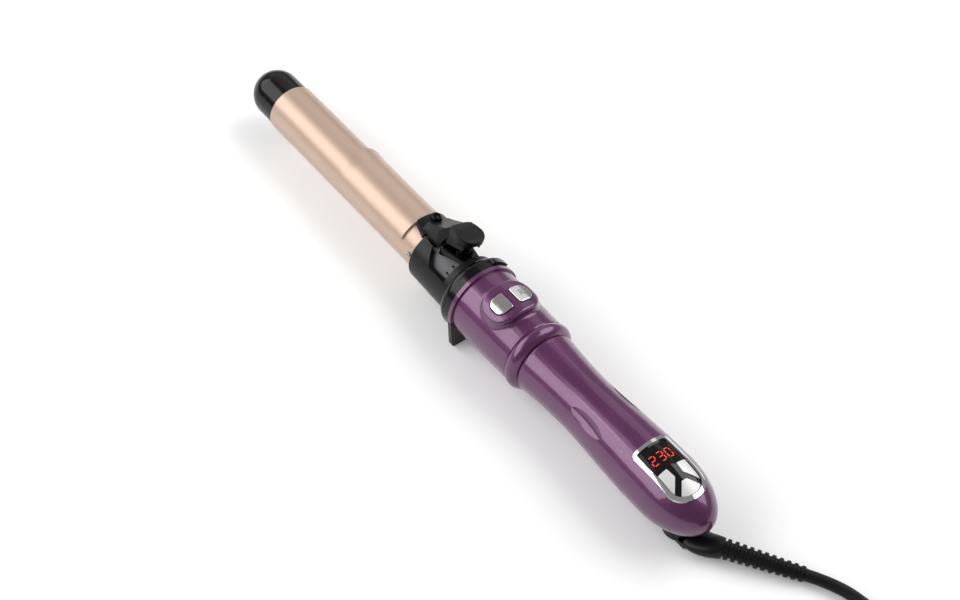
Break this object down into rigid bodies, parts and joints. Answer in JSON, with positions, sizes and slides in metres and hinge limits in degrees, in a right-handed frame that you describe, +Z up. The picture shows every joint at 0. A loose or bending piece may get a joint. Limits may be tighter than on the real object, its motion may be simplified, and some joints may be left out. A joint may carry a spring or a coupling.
{
  "type": "automatic hair curler",
  "caption": "Motor-driven curling iron with a clipped, turning barrel, contoured handle, press buttons, lit temperature display, rest foot and a swivel cord ending in a coil and plug.",
  "frame": {"origin": "On the surface the tool rests on, under the middle of the tool's length from barrel tip to handle end", "axes": "+X runs along the tool from the barrel tip to the handle end and the cord; +Y is the tool's right side when its buttons face up and the barrel points away from the viewer; +Z is up from the resting surface"},
  "size_m": [0.534, 0.0887, 0.0487],
  "materials": {
    "barrel_coat": "satin pearl",
    "clip_coat": "satin pearl",
    "black_gloss": "gloss",
    "black_plastic": "fine satin",
    "grey_plastic": "satin",
    "heat_plastic": "matte",
    "purple_shell": "pearl gloss",
    "foot_plastic": "satin",
    "silver_key": "bright",
    "chrome_trim": "bright",
    "pale_key": "satin",
    "window_black": "gloss",
    "lit_red": "lit",
    "aluminium": "extruded",
    "ceramic": "fired",
    "steel": "bright",
    "dark_steel": "black oxide",
    "bronze": "sintered",
    "brass": "bright",
    "gear_plastic": "satin",
    "board_green": "satin",
    "part_black": "satin",
    "wire_cover": "satin",
    "cord_rubber": "satin",
    "tie_black": "satin",
    "plug_plastic": "satin",
    "plated_pin": "nickel plated"
  },
  "bodies": {
    "handle": {"gearbox": "steel", "motor": "steel", "brush_holder": "part_black", "brush_contacts": "brass", "front_ring": "black_gloss", "front_bush": "bronze", "rear_bush": "black_plastic", "handle_upper": "purple_shell", "handle_lower": "purple_shell", "shell_screws": "dark_steel", "rest_foot": "foot_plastic", "button_switches": "part_black", "button_board": "board_green", "display_bezel": "chrome_trim", "display_window": "window_black", "display_digits": "lit_red", "led_module": "part_black", "control_board": "board_green", "key_switches": "part_black", "power_board": "board_green", "power_parts": "part_black", "swivel_seat": "black_plastic"},
    "barrel": {"cool_tip": "black_gloss", "barrel_tube": "barrel_coat", "barrel_screws": "steel", "tip_insulator": "heat_plastic", "heat_spreader_upper": "aluminium", "heat_spreader_lower": "aluminium", "ptc_heater": "ceramic", "thermistor": "ceramic", "thermal_fuse": "steel", "heater_leads": "wire_cover", "barrel_core": "grey_plastic", "collar_shell": "black_plastic", "spring_housing": "black_gloss", "clip_pin": "steel", "clip_spring": "dark_steel", "spindle": "steel", "slip_ring_hub": "part_black", "slip_rings": "brass", "spindle_gear": "gear_plastic"},
    "clip": {"clip_plate": "clip_coat", "clip_lever": "black_plastic", "clip_screw": "dark_steel"},
    "pinion": {"motor_pinion": "brass"},
    "button_left": {"button_left": "silver_key"},
    "button_right": {"button_right": "silver_key"},
    "key_left": {"key_left": "pale_key"},
    "key_right": {"key_right": "pale_key"},
    "key_bottom": {"key_bottom": "pale_key"},
    "cord": {"cord_swivel": "black_plastic", "swivel_clip": "steel", "strain_relief": "cord_rubber", "supply_cord": "cord_rubber", "cord_coil": "cord_rubber", "cord_tie": "tie_black", "plug_body": "plug_plastic", "plug_pins": "plated_pin"}
  },
  "joints": [
    {"name": "barrel_spin", "type": "hinge", "parent": "handle", "child": "barrel", "pos_m": [0, 0, 0.0213], "axis": [1, 0, 0], "continuous": true},
    {"name": "pinion_spin", "type": "hinge", "parent": "handle", "child": "pinion", "pos_m": [0.0225, 0, 0.0105], "axis": [1, 0, 0], "continuous": true},
    {"name": "clip_hinge", "type": "hinge", "parent": "barrel", "child": "clip", "pos_m": [-0.023, 0.00591, 0.0367], "axis": [0, 0.9336, -0.3584], "range_deg": [0, 15], "stiffness_Nm_per_rad": 0.6, "springref_deg": -14.32, "deforming": ["clip_spring"]},
    {"name": "button_left_press", "type": "slide", "parent": "handle", "child": "button_left", "axis": [0, 0, -1], "range_m": [0, 0.0008], "stiffness_N_per_m": 600, "springref_m": -0.0004},
    {"name": "button_right_press", "type": "slide", "parent": "handle", "child": "button_right", "axis": [0, 0, -1], "range_m": [0, 0.0008], "stiffness_N_per_m": 600, "springref_m": -0.0004},
    {"name": "key_left_press", "type": "slide", "parent": "handle", "child": "key_left", "axis": [0, 0, -1], "range_m": [0, 0.0004], "stiffness_N_per_m": 500, "springref_m": -0.0004},
    {"name": "key_right_press", "type": "slide", "parent": "handle", "child": "key_right", "axis": [0, 0, -1], "range_m": [0, 0.0004], "stiffness_N_per_m": 500, "springref_m": -0.0004},
    {"name": "key_bottom_press", "type": "slide", "parent": "handle", "child": "key_bottom", "axis": [0, 0, -1], "range_m": [0, 0.0004], "stiffness_N_per_m": 500, "springref_m": -0.0004},
    {"name": "cord_swivel_turn", "type": "hinge", "parent": "handle", "child": "cord", "pos_m": [0.1676, 0, 0.003], "axis": [0, 0, 1], "range_deg": [-85, 30]}
  ],
  "couplings": [
    {"joint": "pinion_spin", "follows": "barrel_spin", "ratio": -2}
  ]
}
